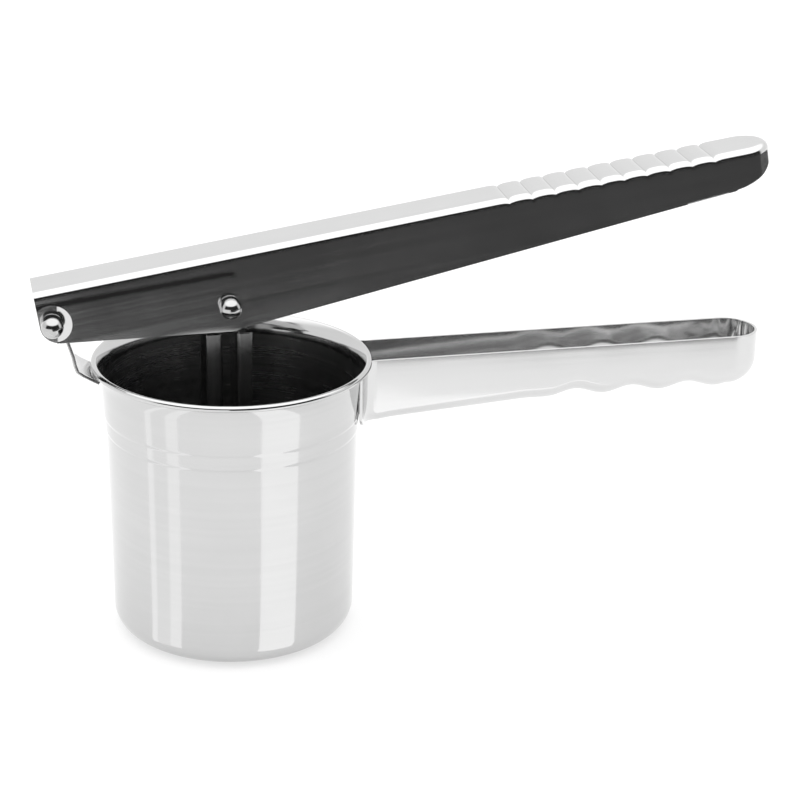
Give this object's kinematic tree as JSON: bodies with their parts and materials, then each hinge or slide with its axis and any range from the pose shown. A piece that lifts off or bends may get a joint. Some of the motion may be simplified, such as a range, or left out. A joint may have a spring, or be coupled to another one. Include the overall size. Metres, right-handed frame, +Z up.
{
  "type": "potato ricer",
  "caption": "Lever press for boiled potato: a perforated steel cup, a fixed trough handle and a hinged lever that drives a disc down the cup.",
  "frame": {"origin": "centre of the cup's flat base, on the surface that the ricer stands on", "axes": "+X along the handles, away from the hinge; +Z up the cup's axis; +Y across the handles"},
  "size_m": [0.2357, 0.0886, 0.155],
  "materials": {
    "cup_steel": "polished stainless steel",
    "handle_steel": "polished stainless steel",
    "strap_steel": "polished stainless steel",
    "lever_steel": "polished stainless steel",
    "rivet_steel": "bright polished steel",
    "plunger_steel": "satin stainless steel"
  },
  "bodies": {
    "frame": {"cup": "cup_steel", "lower_handle": "handle_steel", "hinge_strap": "strap_steel"},
    "lever": {"lever": "lever_steel", "pivot_rivet": "rivet_steel", "plunger_rivet": "rivet_steel"},
    "plunger": {"plunger_strap": "plunger_steel", "plunger_disc": "plunger_steel"}
  },
  "joints": [
    {"name": "lever_hinge", "type": "hinge", "parent": "frame", "child": "lever", "pos_m": [-0.0563, 0, 0.1073], "axis": [0, -1, 0], "range_deg": [0, 34]},
    {"name": "plunger_hinge", "type": "hinge", "parent": "lever", "child": "plunger", "pos_m": [-0.0018, 0, 0.1106], "axis": [0, -1, 0], "range_deg": [-28, 0]}
  ],
  "couplings": [
    {"joint": "plunger_hinge", "follows": "lever_hinge", "ratio": -0.805}
  ]
}
